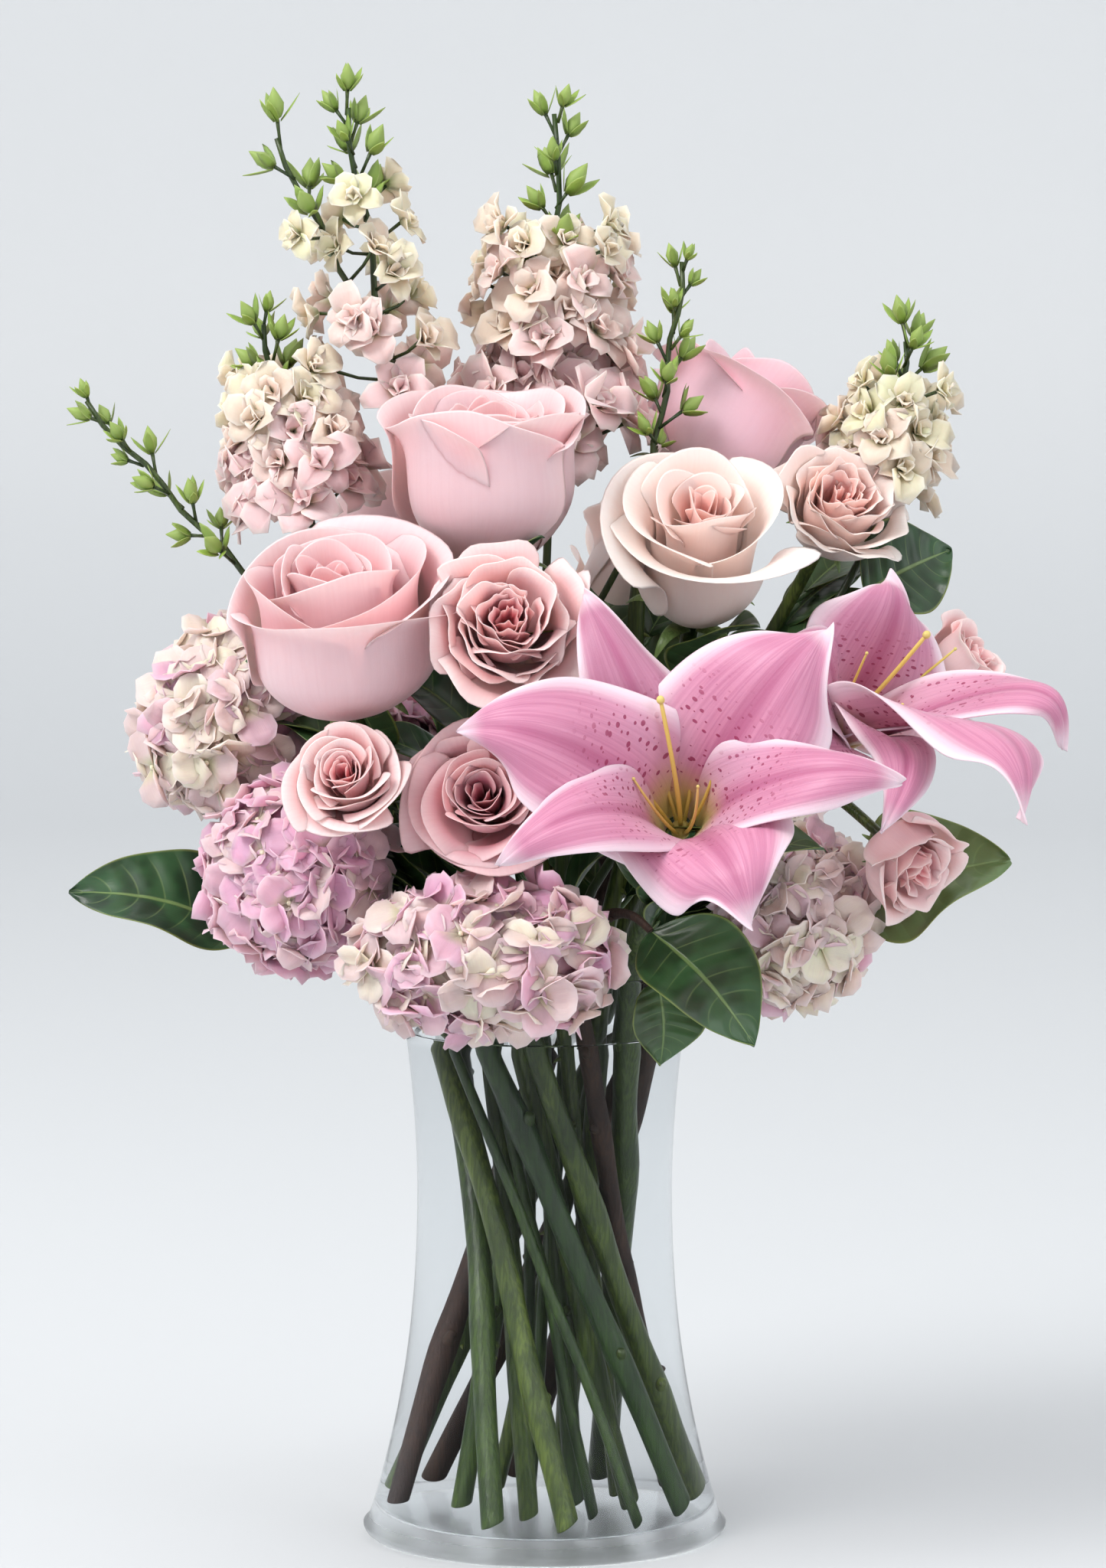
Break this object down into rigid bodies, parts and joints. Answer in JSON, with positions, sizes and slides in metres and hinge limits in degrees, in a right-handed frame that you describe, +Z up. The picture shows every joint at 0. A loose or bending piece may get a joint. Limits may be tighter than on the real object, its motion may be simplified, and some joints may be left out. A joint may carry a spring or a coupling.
{
  "type": "lily and rose bouquet in a glass vase",
  "caption": "Mixed bouquet of pink lilies, roses, spray roses, hydrangeas and larkspur whose stems cross in the water of a waisted clear glass vase.",
  "frame": {"origin": "centre of the vase's foot, on the surface that it stands on", "axes": "+Z up; -Y is the front, which the lilies face; +X is to the right seen from the front"},
  "size_m": [0.3499, 0.2765, 0.521],
  "materials": {
    "clear_glass": "polished, clear",
    "water": "clear, still",
    "woody_twigs": "matte bark, purple-brown",
    "leaves": "waxy, satin",
    "stems": "satin, wet below the water line",
    "stamens": "matte",
    "lily_petals": "soft, faintly crystalline",
    "spray_rose_petals": "soft",
    "pale_rose_petals": "soft",
    "rose_petals": "soft, velvety",
    "hydrangea_florets": "soft",
    "larkspur_florets": "soft"
  },
  "bodies": {
    "root": {"hydrangea_back_left": "hydrangea_florets", "hydrangea_back_left_stem": "stems", "hydrangea_back_right": "hydrangea_florets", "hydrangea_back_right_stem": "stems", "hydrangea_centre": "hydrangea_florets", "hydrangea_centre_stem": "stems", "hydrangea_left": "hydrangea_florets", "hydrangea_left_stem": "stems", "hydrangea_lower_left": "hydrangea_florets", "hydrangea_lower_left_stem": "stems", "hydrangea_right": "hydrangea_florets", "hydrangea_right_stem": "stems", "larkspur_centre": "larkspur_florets", "larkspur_left": "larkspur_florets", "larkspur_right": "larkspur_florets", "larkspur_top_left": "larkspur_florets", "leaf_front": "leaves", "leaf_left": "leaves", "leaf_low": "leaves", "leaf_right_low": "leaves", "leaf_right_top": "leaves", "lily_back_stamens": "stamens", "lily_back_tepal_1": "lily_petals", "lily_back_tepal_2": "lily_petals", "lily_back_tepal_3": "lily_petals", "lily_back_tepal_4": "lily_petals", "lily_back_tepal_5": "lily_petals", "lily_back_tepal_6": "lily_petals", "lily_front_stamens": "stamens", "lily_front_tepal_1": "lily_petals", "lily_front_tepal_2": "lily_petals", "lily_front_tepal_3": "lily_petals", "lily_front_tepal_4": "lily_petals", "lily_front_tepal_5": "lily_petals", "lily_front_tepal_6": "lily_petals", "lily_stem": "stems", "rose_back_left": "rose_petals", "rose_back_left_stem": "stems", "rose_back_right": "rose_petals", "rose_back_right_stem": "stems", "rose_left": "rose_petals", "rose_left_stem": "stems", "rose_pale": "pale_rose_petals", "rose_pale_stem": "stems", "rose_right": "rose_petals", "rose_right_stem": "stems", "rose_top": "rose_petals", "rose_top_stem": "stems", "spray_rose_bud": "spray_rose_petals", "spray_rose_frilled": "spray_rose_petals", "spray_rose_open": "spray_rose_petals", "spray_rose_pale": "spray_rose_petals", "spray_rose_side": "spray_rose_petals", "spray_rose_small": "spray_rose_petals", "spray_rose_stem_left": "stems", "spray_rose_stem_right": "stems", "twig_front": "woody_twigs", "twig_right": "woody_twigs", "vase": "clear_glass", "water": "water"}
  },
  "joints": []
}
